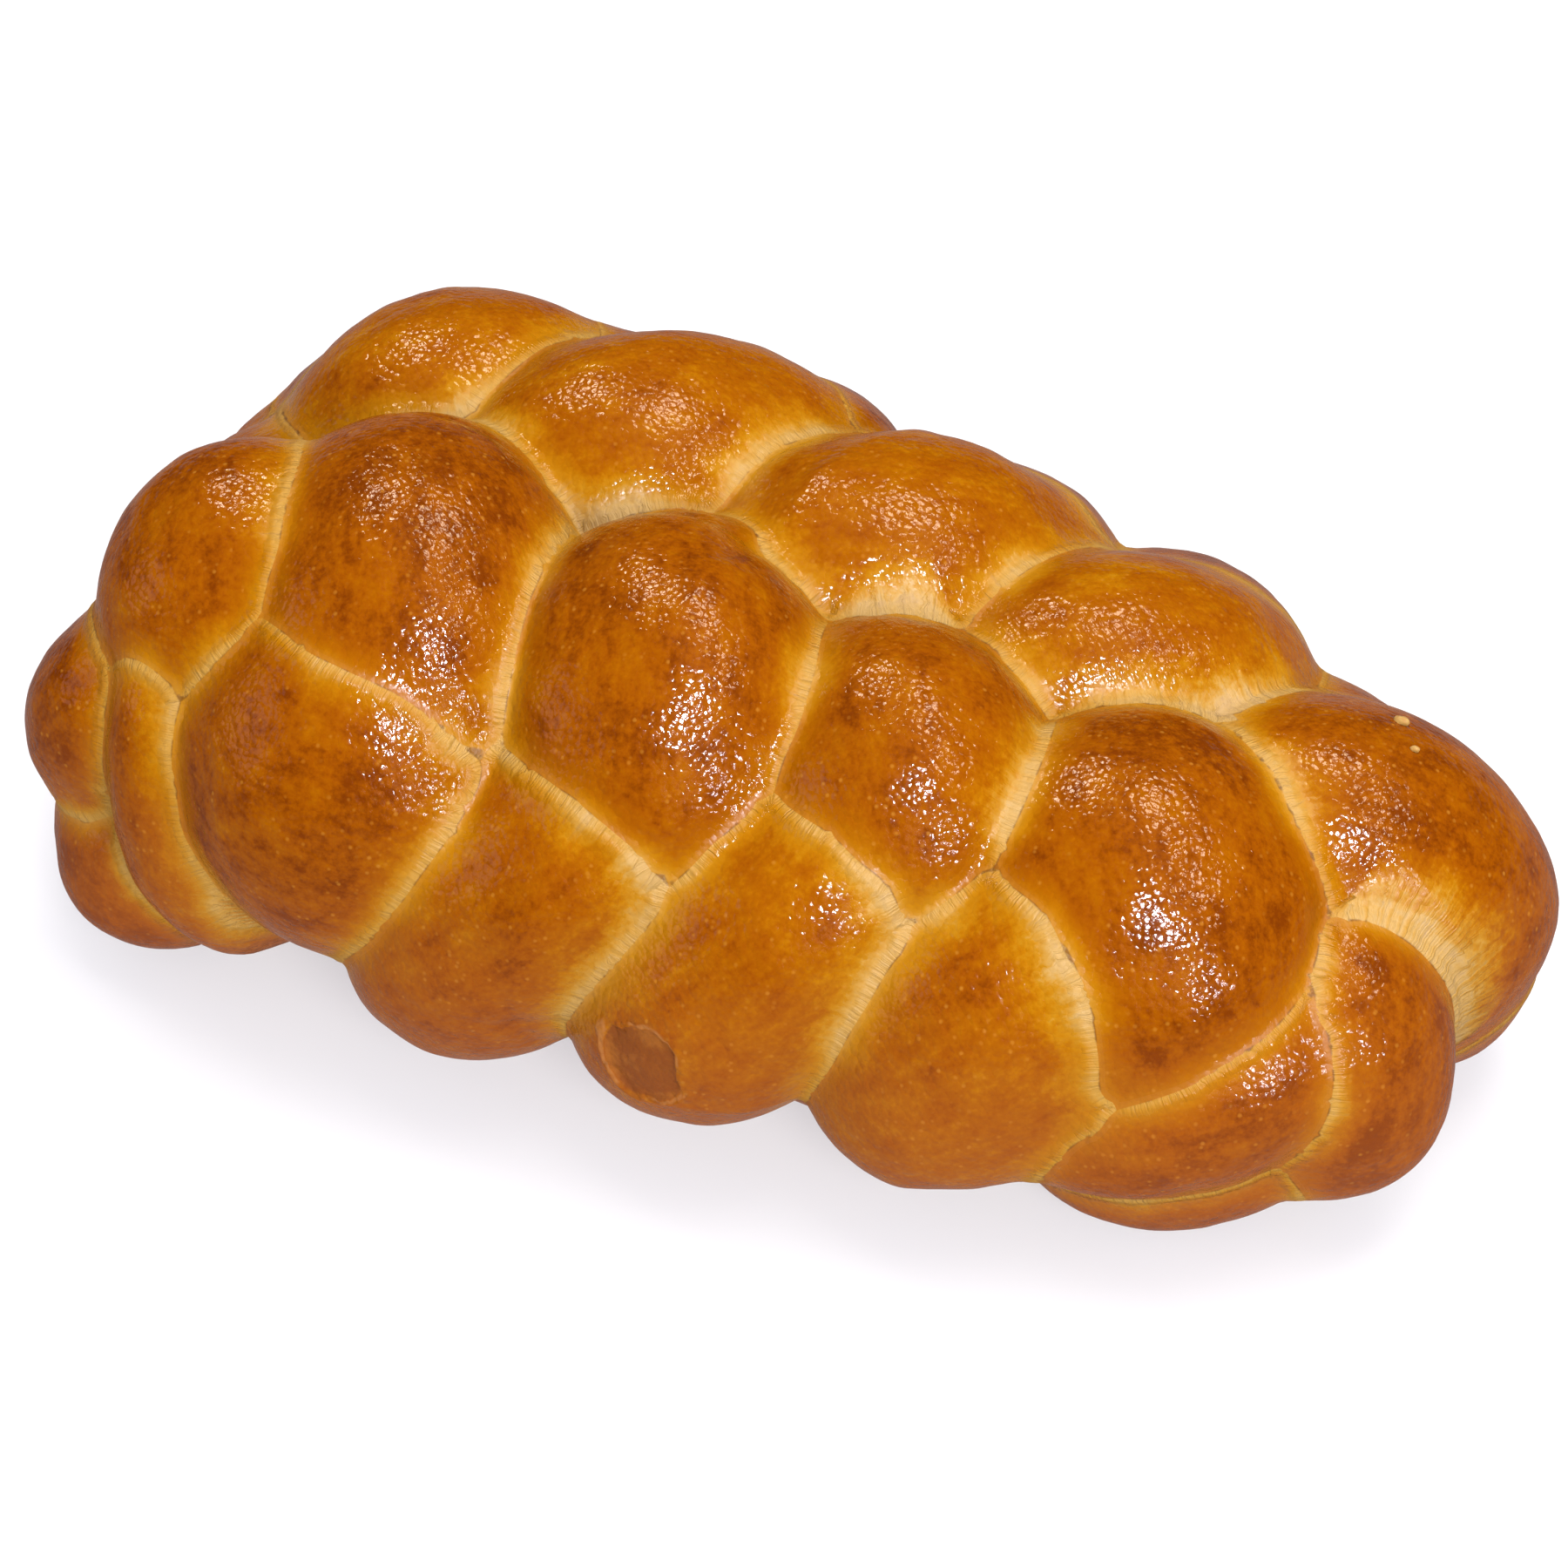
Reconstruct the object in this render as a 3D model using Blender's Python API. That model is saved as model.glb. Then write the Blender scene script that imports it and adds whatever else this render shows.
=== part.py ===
"""Braided egg loaf, baked, whole and uncut: one solid.

The crust is worked out as a closed shell around a short spine inside the loaf. From
every point of the spine a ray leaves in a set direction and ends where it last leaves
one of the lobes of the braid. Each lobe is the bulge that a strand of dough makes
between two crossings: a flattened egg, sunk into a smooth mean form of the loaf.
Neighbouring lobes meet in creases with a small fillet. Rays that point below the board
stop on it, which gives the flat underside that the loaf was baked on and rests on.

X runs along the loaf with the pinched tail at +X, Y across it, Z up.
"""

import bpy
import numpy as np

MM = 0.001

# Mean form of the loaf. Its lower half is deep enough for the board to cut it off.
HALF_LENGTH = 140 * MM
HALF_WIDTH = 74 * MM
HEIGHT = 89 * MM
LOWER_DEPTH = 50 * MM
SPINE_HEIGHT = 31 * MM
SPINE_HALF_LENGTH = 62 * MM
TAIL_FALL = 0.17
TAIL_NARROWING = 0.13
SIDE_SHEAR = 12 * MM
SQUARENESS = 2.6

# Core of the loaf under the lobes, as a share of the mean form
CORE_SHARE = 0.80

# Foot that the loaf spreads into on the board: centre and half sizes
FOOT_CENTRE = (2 * MM, 2 * MM, 2 * MM)
FOOT_HALF_SIZES = (122 * MM, 38 * MM, 26 * MM)

# Fillet in the creases
CREASE_FILLET = 1.6 * MM

# Rows of the braid. THICK is the half thickness of a lobe, TURN the slant of its long
# axis from +X in degrees, DIP the fall of its +X end, ROLL the lean onto its neighbour.
NEAR_TOP_ROW = {"thick": 34, "turn": -75, "dip": 4, "roll": 12}
NEAR_SIDE_ROW = {"thick": 30, "turn": 48, "dip": 6, "roll": -8}
FAR_TOP_ROW = {"thick": 36, "turn": 36, "dip": 0, "roll": -14}
FAR_SIDE_ROW = {"thick": 30, "turn": -48, "dip": 6, "roll": 8}
END_FOLDS = {"thick": 26, "turn": 0, "dip": 0, "roll": 0}

# Lobes: place along X, place round the loaf in degrees (0 near side, 90 top, 180 far
# side), rise over the mean form, half length and half width, all lengths in mm. The
# last entry holds the values in which a lobe differs from its row.
LOBES = (
    (NEAR_TOP_ROW, -86, 65, 9, 31, 30, {"thick": 28, "turn": -60, "roll": 8}),
    (NEAR_TOP_ROW, -49, 74, 10, 44, 34, {"turn": -60, "roll": 16}),
    (NEAR_TOP_ROW, 2, 73.5, 11, 41, 33, {"turn": -66}),
    (NEAR_TOP_ROW, 46, 75.5, 9.5, 35, 31, {"turn": -58}),
    (NEAR_TOP_ROW, 97, 72.5, 11, 40, 36, {"turn": -50}),
    (NEAR_SIDE_ROW, -55, 16, 8, 34, 34, {"turn": -10}),
    (NEAR_SIDE_ROW, -15, 9, 6, 42, 27, {}),
    (NEAR_SIDE_ROW, 30, 13, 6, 40, 27, {}),
    (NEAR_SIDE_ROW, 77, 16, 7, 39, 28, {}),
    (NEAR_SIDE_ROW, 106, 12, 9, 38, 21, {"turn": 26, "dip": 0, "roll": 0}),
    (FAR_TOP_ROW, -78, 111, 4, 37, 31, {"thick": 32, "turn": 50}),
    (FAR_TOP_ROW, -32, 104, 6, 44, 34, {}),
    (FAR_TOP_ROW, 20, 102, 6, 42, 34, {}),
    (FAR_TOP_ROW, 67, 101, 6, 40, 32, {}),
    (FAR_TOP_ROW, 117, 99, 11, 40, 32, {"thick": 34, "turn": 20, "roll": -6}),
    (FAR_SIDE_ROW, -102, 148, 1, 32, 26, {"thick": 28}),
    (FAR_SIDE_ROW, -68, 168, 2, 42, 28, {}),
    (FAR_SIDE_ROW, -24, 168, 5, 42, 27, {}),
    (FAR_SIDE_ROW, 20, 168, 4, 42, 27, {}),
    (FAR_SIDE_ROW, 62, 166, 4, 40, 27, {}),
    (FAR_SIDE_ROW, 102, 165, -2, 38, 25, {"thick": 28, "turn": -40}),
    (END_FOLDS, -114, 12, 3, 24, 20, {"thick": 24, "turn": 60}),
    (END_FOLDS, -106, -18, 5, 22, 22, {"turn": -20}),
    (END_FOLDS, -88, 6, 4, 34, 17, {"thick": 24, "turn": -76}),
    (END_FOLDS, -115, 92, -9, 34, 28, {"turn": 80}),
    (END_FOLDS, -122, 178, 3, 28, 24, {"turn": 30}),
    (END_FOLDS, -120, -88, -4, 30, 34, {}),
    (END_FOLDS, 122, 196, 3, 32, 22, {"turn": 10}),
    (END_FOLDS, 106, -24, 1, 30, 18, {"thick": 20}),
    (END_FOLDS, 130, 28, 8, 28, 22, {"thick": 24, "turn": -80}),
)

# Rings along the loaf and points round each ring. The flat underside needs fewer points.
RINGS = 76
POINTS_ROUND = 64
UNDERSIDE_DENSITY = 0.45
SLIDE_LIMIT = 0.5

CRUST_COLOUR = (0.46, 0.16, 0.035, 1.0)
CRUST_ROUGHNESS = 0.38


def signed_power(value, power):
    """The power of the size of a value, with the value's own sign."""
    return np.sign(value) * np.abs(value) ** power


def mean_point(tilt, turn):
    """Point of the mean form, a superellipsoid that falls and narrows to the tail."""
    reach = signed_power(np.sin(tilt), 2 / SQUARENESS)
    girth = signed_power(np.cos(tilt), 2 / SQUARENESS)
    across = -signed_power(np.cos(turn), 2 / SQUARENESS)
    upward = signed_power(np.sin(turn), 2 / SQUARENESS)
    y = HALF_WIDTH * girth * across * (1 - TAIL_NARROWING * reach)
    x = HALF_LENGTH * reach + SIDE_SHEAR * y / HALF_WIDTH
    half = np.where(upward > 0, HEIGHT - SPINE_HEIGHT, LOWER_DEPTH)
    z = (half * upward * girth + SPINE_HEIGHT) * (1 - TAIL_FALL * reach)
    return np.stack([x, y, z], axis=-1)


def spine_point(tilt):
    """Point of the spine that the rays with this tilt start from."""
    x = SPINE_HALF_LENGTH * np.sin(tilt)
    return np.stack([x, 0 * x, 0 * x + SPINE_HEIGHT], axis=-1)


def unit(vector):
    """Vector of the same direction and length one."""
    return vector / np.linalg.norm(vector, axis=-1, keepdims=True)


def tilt_at(along, turn):
    """Tilt at which the mean form reaches a place along X."""
    tilts = np.linspace(-np.pi / 2, np.pi / 2, 721)
    return np.interp(along, mean_point(tilts, turn)[:, 0], tilts)


def place_lobe(row, along, around, rise, half_long, half_wide, changes):
    """Centre of one lobe, and the matrix that turns it into a ball of radius one."""
    shape = {**row, **changes}
    turn = np.radians(around)
    tilt = tilt_at(along * MM, turn)
    step = 0.001
    base = mean_point(tilt, turn)
    lengthwise = mean_point(tilt + step, turn) - mean_point(tilt - step, turn)
    roundwise = mean_point(tilt, turn + step) - mean_point(tilt, turn - step)
    normal = unit(np.cross(lengthwise, roundwise))
    normal = normal * np.sign(normal @ (base - spine_point(tilt)))
    forward = unit(np.array([1.0, 0.0, 0.0]) - normal * normal[0])
    sideways = np.cross(normal, forward)
    sideways = sideways * np.sign(sideways @ roundwise)
    slant, dip, roll = np.radians([shape["turn"], shape["dip"], shape["roll"]])
    long_axis = np.cos(slant) * forward + np.sin(slant) * sideways
    wide_axis = np.cos(slant) * sideways - np.sin(slant) * forward
    dipped = np.cos(dip) * long_axis - np.sin(dip) * normal
    up_axis = np.sin(dip) * long_axis + np.cos(dip) * normal
    leaned = np.cos(roll) * wide_axis - np.sin(roll) * up_axis
    up_axis = np.sin(roll) * wide_axis + np.cos(roll) * up_axis
    centre = base + normal * rise * MM - up_axis * shape["thick"] * MM
    axes = np.stack([dipped / half_long, leaned / half_wide, up_axis / shape["thick"]])
    return centre, axes / MM


def lobe_reach(start, ray, lobe):
    """Distance along each ray to where it leaves the lobe.

    A ray that misses gets the reach mirrored at the last touching ray, so that the
    value falls away steadily beside the lobe.
    """
    centre, axes = lobe
    offset = (start - centre) @ axes.T
    slope = ray @ axes.T
    a = np.sum(slope * slope, axis=-1)
    b = np.sum(offset * slope, axis=-1)
    c = np.sum(offset * offset, axis=-1) - 1
    inside = b * b - a * c
    return (np.sign(inside) * np.sqrt(np.abs(inside)) - b) / a


def crust(tilt, turn, lobes):
    """Points of the crust, the reach of every lobe, and the two radii that set it."""
    start = spine_point(tilt)
    away = mean_point(tilt, turn) - start
    mean_radius = np.linalg.norm(away, axis=-1)
    ray = away / mean_radius[..., None]
    core = mean_radius * CORE_SHARE
    reaches = np.stack([lobe_reach(start, ray, lobe) for lobe in lobes] + [core])
    highest = reaches.max(axis=0)
    excess = np.exp((reaches - highest) / CREASE_FILLET).sum(axis=0)
    radius = highest + CREASE_FILLET * np.log(excess)
    board = np.where(ray[..., 2] < 0, SPINE_HEIGHT / np.maximum(-ray[..., 2], 1e-6), 1.0)
    points = start + ray * np.minimum(radius, board)[..., None]
    points[..., 2] = np.where(radius >= board, 0.0, points[..., 2])
    return points, reaches, radius, board


def even_grid():
    """Tilts and turns that space the points evenly over the mean form."""
    tilts = np.linspace(-np.pi / 2, np.pi / 2, 2001)
    outline = mean_point(tilts, np.full_like(tilts, np.radians(54)))
    steps = np.linalg.norm(np.diff(outline, axis=0), axis=-1)
    travel = np.concatenate([[0], np.cumsum(steps)])
    tilts = np.interp(np.linspace(0, travel[-1], RINGS), travel, tilts)
    turns = np.linspace(-np.pi / 2, 3 * np.pi / 2, 2001)
    outline = mean_point(0 * turns, turns)
    steps = np.linalg.norm(np.diff(outline, axis=0), axis=-1)
    steps = steps * np.where(outline[1:, 2] < 2 * MM, UNDERSIDE_DENSITY, 1.0)
    travel = np.concatenate([[0], np.cumsum(steps)])
    places = np.linspace(0, travel[-1], POINTS_ROUND + 1)[:-1]
    turns = np.interp(places, travel, turns)
    return np.meshgrid(tilts, turns, indexing="ij")


def slide_to_folds(tilt, turn, lobes):
    """Grid with the points nearest a crease or the base edge moved onto it.

    A fold is where the difference of two reaches is zero. One Newton step in grid cells
    leads there; points further off than SLIDE_LIMIT cells stay where they are.
    """
    points, reaches, radius, board = crust(tilt, turn, lobes)
    order = np.argsort(-reaches, axis=0)[:2]

    def step_to_zero(value, along, around):
        size = np.maximum(along ** 2 + around ** 2, 1e-12)
        return -value * along / size, -value * around / size

    def slopes(field):
        wrapped = np.concatenate([field[..., -1:], field, field[..., :1]], axis=-1)
        return np.gradient(wrapped, axis=-2)[..., 1:-1], np.gradient(wrapped, axis=-1)[..., 1:-1]

    along, around = slopes(reaches)
    first, second = (np.take_along_axis(reaches, order[i:i + 1], 0)[0] for i in (0, 1))
    along = [np.take_along_axis(along, order[i:i + 1], 0)[0] for i in (0, 1)]
    around = [np.take_along_axis(around, order[i:i + 1], 0)[0] for i in (0, 1)]
    crease = step_to_zero(first - second, along[0] - along[1], around[0] - around[1])
    base = step_to_zero(radius - board, *slopes(radius - board))
    far_crease = np.hypot(*crease) + 9.0 * (radius > board)
    far_base = np.hypot(*base)
    use_base = far_base < far_crease
    shift = np.where(use_base, base, crease)
    near = np.minimum(far_base, far_crease) < SLIDE_LIMIT
    near[:1] = False
    near[-1:] = False
    rows, columns = np.indices(tilt.shape).astype(float)
    rows = rows + shift[0] * near
    columns = columns + shift[1] * near
    tilt = np.interp(rows, np.arange(RINGS), tilt[:, 0])
    lap = np.arange(-1, POINTS_ROUND + 1)
    laps = np.concatenate([turn[0, -1:] - 2 * np.pi, turn[0], turn[0, :1] + 2 * np.pi])
    turn = np.interp(columns, lap, laps)
    return tilt, turn


def shell_faces(depth):
    """Triangles of the closed shell; each cell is split along its deeper diagonal."""
    rings = RINGS - 2
    index = np.arange(rings * POINTS_ROUND).reshape(rings, POINTS_ROUND)
    a = index[:-1]
    b = index[1:]
    c = np.roll(b, -1, axis=1)
    d = np.roll(a, -1, axis=1)
    straight = depth[a] + depth[c] <= depth[b] + depth[d]
    one = np.where(straight[..., None], np.stack([a, b, c], -1), np.stack([a, b, d], -1))
    two = np.where(straight[..., None], np.stack([a, c, d], -1), np.stack([b, c, d], -1))
    low = np.full(POINTS_ROUND, rings * POINTS_ROUND)
    high = low + 1
    first = np.stack([low, index[0], np.roll(index[0], -1)], -1)
    last = np.stack([high, np.roll(index[-1], -1), index[-1]], -1)
    return np.concatenate([one.reshape(-1, 3), two.reshape(-1, 3), first, last])


def crust_material():
    """Browned, egg-washed crust."""
    material = bpy.data.materials.new("crust")
    material.use_nodes = True
    shader = material.node_tree.nodes["Principled BSDF"]
    shader.inputs["Base Color"].default_value = CRUST_COLOUR
    shader.inputs["Roughness"].default_value = CRUST_ROUGHNESS
    shader.inputs["Metallic"].default_value = 0.0
    return material


def build_loaf():
    """The loaf, with the middle of its underside at the origin."""
    lobes = [place_lobe(*entry) for entry in LOBES]
    lobes.append((np.array(FOOT_CENTRE), np.diag(1 / np.array(FOOT_HALF_SIZES))))
    tilt, turn = slide_to_folds(*even_grid(), lobes)
    points, reaches, radius, board = crust(tilt, turn, lobes)
    ordered = np.sort(reaches, axis=0)
    depth = np.minimum(ordered[-1] - ordered[-2], np.abs(radius - board))
    ends = points[[0, -1], 0]
    vertices = np.concatenate([points[1:-1].reshape(-1, 3), ends])
    depth = np.concatenate([depth[1:-1].ravel(), [1.0, 1.0]])
    middle = (vertices.min(axis=0) + vertices.max(axis=0)) / 2
    vertices[:, :2] -= middle[:2]
    mesh = bpy.data.meshes.new("loaf")
    mesh.from_pydata(vertices.tolist(), [], shell_faces(depth).tolist())
    mesh.validate()
    mesh.materials.append(crust_material())
    mesh.shade_smooth()
    loaf = bpy.data.objects.new("loaf", mesh)
    bpy.context.scene.collection.objects.link(loaf)
    return loaf


for leftover in list(bpy.data.objects):
    bpy.data.objects.remove(leftover)
build_loaf()
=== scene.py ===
# %% [markdown]
# # A braided egg loaf
#
# A braided egg loaf is rolled out as strands of rich dough, plaited, left to rise,
# brushed with beaten egg and baked. What the eye reads is a crowd of plump lobes, each the
# bulge of a strand between two crossings. The crowns bake to a glossy orange brown. Where
# two lobes pushed apart in the oven, the dough tore and stretched late, and a pale matt
# band of cream fibres shows. This script grows that crust over the packed frame.

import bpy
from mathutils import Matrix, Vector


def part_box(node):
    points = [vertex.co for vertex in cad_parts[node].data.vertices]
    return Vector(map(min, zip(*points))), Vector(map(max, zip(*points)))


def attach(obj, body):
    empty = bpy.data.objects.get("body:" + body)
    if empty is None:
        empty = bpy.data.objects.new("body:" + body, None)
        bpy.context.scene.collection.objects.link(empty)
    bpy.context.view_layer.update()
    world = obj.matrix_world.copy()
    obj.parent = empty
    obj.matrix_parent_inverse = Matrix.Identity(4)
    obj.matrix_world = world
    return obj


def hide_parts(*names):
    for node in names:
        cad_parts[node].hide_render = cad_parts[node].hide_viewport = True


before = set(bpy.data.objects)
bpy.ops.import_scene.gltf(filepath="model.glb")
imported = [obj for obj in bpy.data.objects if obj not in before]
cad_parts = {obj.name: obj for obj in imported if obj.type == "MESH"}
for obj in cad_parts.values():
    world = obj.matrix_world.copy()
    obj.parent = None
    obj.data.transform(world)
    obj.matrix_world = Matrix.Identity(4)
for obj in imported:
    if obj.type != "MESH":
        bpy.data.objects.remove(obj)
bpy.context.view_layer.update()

import itertools
import math

import bpy
import numpy as np
from mathutils import Matrix, Vector

MM = 0.001

# %% [markdown]
# ## The mean form
#
# A loaf could be sculpted by hand, but a formula is easier to keep closed, even and
# repeatable. First comes the smooth shape that the braid would have without its lobes: a
# superellipsoid, which is an ellipsoid with squarer shoulders. It falls and narrows to the
# tail. Every point on it has two parameters: the tilt runs from one end of the loaf to the
# other, and the turn runs round it, from the near side over the top to the far side. Width
# and height are a little under those of the loaf, because the lobes stand out from it.

# %% Sizes of the mean form
HALF_LENGTH = 140 * MM
HALF_WIDTH = 74 * MM
HEIGHT = 89 * MM
LOWER_DEPTH = 50 * MM
SPINE_HEIGHT = 31 * MM
SPINE_HALF_LENGTH = 62 * MM
TAIL_FALL = 0.17
TAIL_NARROWING = 0.13
SIDE_SHEAR = 12 * MM
SQUARENESS = 2.6


def signed_power(value, power):
    """The power of the size of a value, with the value's own sign."""
    return np.sign(value) * np.abs(value) ** power


def mean_point(tilt, turn):
    """Superellipsoid: sine and cosine of both angles, raised to 2 / squareness.

    Width shrinks and height falls in proportion to the reach along X, and the far side is
    sheared a little towards the tail.
    """
    reach = signed_power(np.sin(tilt), 2 / SQUARENESS)
    girth = signed_power(np.cos(tilt), 2 / SQUARENESS)
    across = -signed_power(np.cos(turn), 2 / SQUARENESS)
    upward = signed_power(np.sin(turn), 2 / SQUARENESS)
    y = HALF_WIDTH * girth * across * (1 - TAIL_NARROWING * reach)
    x = HALF_LENGTH * reach + SIDE_SHEAR * y / HALF_WIDTH
    half = np.where(upward > 0, HEIGHT - SPINE_HEIGHT, LOWER_DEPTH)
    z = (half * upward * girth + SPINE_HEIGHT) * (1 - TAIL_FALL * reach)
    return np.stack([x, y, z], axis=-1)


def spine_point(tilt):
    """The spine is a straight line inside the loaf; a tilt's rays start at its sine."""
    x = SPINE_HALF_LENGTH * np.sin(tilt)
    return np.stack([x, 0 * x, 0 * x + SPINE_HEIGHT], axis=-1)


def unit(vector):
    """Vector of the same direction and length one."""
    return vector / np.linalg.norm(vector, axis=-1, keepdims=True)


print("mean form", [round(float(v) / MM) for v in mean_point(np.array(0.5), np.array(1.0))], "mm")

# %% [markdown]
# ## The lobes of the braid
#
# Each lobe is a flattened egg sunk into the mean form. It is set by its place along the
# loaf, its angle round it, how far it rises, its half length and half width, and the slant
# of its long axis. Lobes of one row of the braid slant alike, so a row's shared values are
# written once, and a lobe only names what is its own. The layer says who lies on whom: where
# two lobes meet, the lower one dives under the higher one, and later lobes lie on earlier.

# %% Rows and lobes
NEAR_TOP_ROW = {"layer": 3.0, "thick": 34, "turn": -75, "dip": 4, "roll": 12}
NEAR_SIDE_ROW = {"layer": 2.0, "thick": 30, "turn": 48, "dip": 6, "roll": -8}
FAR_TOP_ROW = {"layer": 1.0, "thick": 36, "turn": 36, "dip": 0, "roll": -14}
FAR_SIDE_ROW = {"layer": 0.5, "thick": 30, "turn": -48, "dip": 6, "roll": 8}
END_FOLDS = {"layer": 0.8, "thick": 26, "turn": 0, "dip": 0, "roll": 0}

# Name, row, place along X in mm, angle round the loaf in degrees with 90 at the top, rise,
# half length and half width in mm, and what differs from the row.
LOBES = (
    ("top_1", NEAR_TOP_ROW, -86, 65, 9, 31, 30, {"layer": 1.9, "thick": 28, "turn": -60, "roll": 8}),
    ("top_2", NEAR_TOP_ROW, -49, 74, 10, 44, 34, {"turn": -60, "roll": 16}),
    ("top_3", NEAR_TOP_ROW, 2, 73.5, 11, 41, 33, {"turn": -66}),
    ("top_4", NEAR_TOP_ROW, 46, 75.5, 9.5, 35, 31, {"turn": -58}),
    ("top_5", NEAR_TOP_ROW, 97, 72.5, 11, 40, 36, {"turn": -50}),
    ("side_1", NEAR_SIDE_ROW, -55, 16, 8, 34, 34, {"turn": -10}),
    ("side_2", NEAR_SIDE_ROW, -15, 9, 6, 42, 27, {}),
    ("side_3", NEAR_SIDE_ROW, 30, 13, 6, 40, 27, {}),
    ("side_4", NEAR_SIDE_ROW, 77, 16, 7, 39, 28, {}),
    ("side_5", NEAR_SIDE_ROW, 106, 12, 9, 38, 21, {"turn": 26, "dip": 0, "roll": 0}),
    ("far_1", FAR_TOP_ROW, -78, 111, 4, 37, 31, {"thick": 32, "turn": 50}),
    ("far_2", FAR_TOP_ROW, -32, 104, 6, 44, 34, {}),
    ("far_3", FAR_TOP_ROW, 20, 102, 6, 42, 34, {}),
    ("far_4", FAR_TOP_ROW, 67, 101, 6, 40, 32, {}),
    ("far_5", FAR_TOP_ROW, 117, 99, 11, 40, 32, {"thick": 34, "turn": 20, "roll": -6}),
    ("back_0", FAR_SIDE_ROW, -102, 148, 1, 32, 26, {"thick": 28}),
    ("back_1", FAR_SIDE_ROW, -68, 168, 2, 42, 28, {}),
    ("back_2", FAR_SIDE_ROW, -24, 168, 5, 42, 27, {}),
    ("back_3", FAR_SIDE_ROW, 20, 168, 4, 42, 27, {}),
    ("back_4", FAR_SIDE_ROW, 62, 166, 4, 40, 27, {}),
    ("back_5", FAR_SIDE_ROW, 102, 165, -2, 38, 25, {"thick": 28, "turn": -40}),
    ("head_fold", END_FOLDS, -114, 12, 3, 24, 20, {"thick": 24, "turn": 60}),
    ("head_foot", END_FOLDS, -106, -18, 5, 22, 22, {"turn": -20}),
    ("head_strip", END_FOLDS, -88, 6, 4, 34, 17, {"layer": 1.2, "thick": 24, "turn": -76}),
    ("head_back", END_FOLDS, -115, 92, -9, 34, 28, {"turn": 80}),
    ("head_far", END_FOLDS, -122, 178, 3, 28, 24, {"turn": 30}),
    ("head_under", END_FOLDS, -120, -88, -4, 30, 34, {}),
    ("tail_far", END_FOLDS, 122, 196, 3, 32, 22, {"turn": 10}),
    ("tail_foot", END_FOLDS, 106, -24, 1, 30, 18, {"thick": 20}),
    ("tail_tuck", END_FOLDS, 130, 28, 8, 28, 22, {"layer": 1.9, "thick": 24, "turn": -80}),
)
FOOT_CENTRE = (2 * MM, 2 * MM, 2 * MM)
FOOT_HALF_SIZES = (122 * MM, 38 * MM, 26 * MM)
CORE_SHARE = 0.77
NAMES = [lobe[0] for lobe in LOBES] + ["foot", "core"]
print(len(LOBES), "lobes")


# %% Place a lobe on the mean form
def tilt_at(along, turn):
    """Tilt at which the mean form reaches a place along X, read off a fine table."""
    tilts = np.linspace(-np.pi / 2, np.pi / 2, 721)
    return np.interp(along, mean_point(tilts, turn)[:, 0], tilts)


def place_lobe(name, row, along, around, rise, half_long, half_wide, changes):
    """Centre of a lobe, and the matrix that turns the lobe into a ball of radius one.

    The lobe stands on the surface normal. Its long axis is turned in the tangent plane,
    then dipped along itself and rolled across itself.
    """
    shape = {**row, **changes}
    turn = np.radians(around)
    tilt = tilt_at(along * MM, turn)
    step = 0.001
    base = mean_point(tilt, turn)
    lengthwise = mean_point(tilt + step, turn) - mean_point(tilt - step, turn)
    roundwise = mean_point(tilt, turn + step) - mean_point(tilt, turn - step)
    normal = unit(np.cross(lengthwise, roundwise))
    normal = normal * np.sign(normal @ (base - spine_point(tilt)))
    forward = unit(np.array([1.0, 0.0, 0.0]) - normal * normal[0])
    sideways = np.cross(normal, forward)
    sideways = sideways * np.sign(sideways @ roundwise)
    slant, dip, roll = np.radians([shape["turn"], shape["dip"], shape["roll"]])
    long_axis = np.cos(slant) * forward + np.sin(slant) * sideways
    wide_axis = np.cos(slant) * sideways - np.sin(slant) * forward
    dipped = np.cos(dip) * long_axis - np.sin(dip) * normal
    up_axis = np.sin(dip) * long_axis + np.cos(dip) * normal
    leaned = np.cos(roll) * wide_axis - np.sin(roll) * up_axis
    up_axis = np.sin(roll) * wide_axis + np.cos(roll) * up_axis
    centre = base + normal * rise * MM - up_axis * shape["thick"] * MM
    axes = np.stack([dipped / half_long, leaned / half_wide, up_axis / shape["thick"]])
    return centre, axes / MM


placed = [place_lobe(*entry) for entry in LOBES]
placed.append((np.array(FOOT_CENTRE), np.diag(1 / np.array(FOOT_HALF_SIZES))))
CORE = len(placed)
placed.append((np.array([0, 0, SPINE_HEIGHT]), np.diag([1 / HALF_LENGTH, 1 / HALF_WIDTH, 1 / HEIGHT])))
CENTRES = np.stack([centre for centre, axes in placed])
AXES = np.stack([axes for centre, axes in placed])
print("lobe centres", CENTRES.shape, "axes", AXES.shape)

# %% [markdown]
# ## Unevenness
#
# Real dough is never an exact egg. Blender has noise textures, but a shape worked out in
# numpy needs its noise there too. So a smooth noise bends every lobe a little: random values
# on the corners of a lattice, blended in between. Each lobe gets its own random values, so
# a crease wanders as two doughs do that press on each other.


# %% Smooth noise in space
def lattice_value(corner, seed):
    """Random value from -1 to 1 for a lattice corner: its whole numbers, mixed and cut."""
    mixed = corner @ np.array([73856093, 19349663, 83492791]) + seed * 2654435761
    mixed = (mixed ^ (mixed >> 13)) * 1274126177
    mixed = mixed ^ (mixed >> 16)
    return (mixed & 0xFFFF) / 32767.5 - 1


def lumps(place, size, seed=0):
    """Corner values blended by the smooth step of the place inside its lattice cell."""
    cell = place / size
    low = np.floor(cell).astype(np.int64)
    part = cell - low
    blend = part * part * (3 - 2 * part)
    total = 0.0
    for corner in itertools.product((0, 1), repeat=3):
        weight = np.prod(np.where(corner, blend, 1 - blend), axis=-1)
        total = total + weight * lattice_value(low + np.array(corner), seed)
    return total


sample = lumps(np.random.default_rng(1).random((4000, 3)), 0.05)
print("noise from", round(float(sample.min()), 2), "to", round(float(sample.max()), 2))

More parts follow.
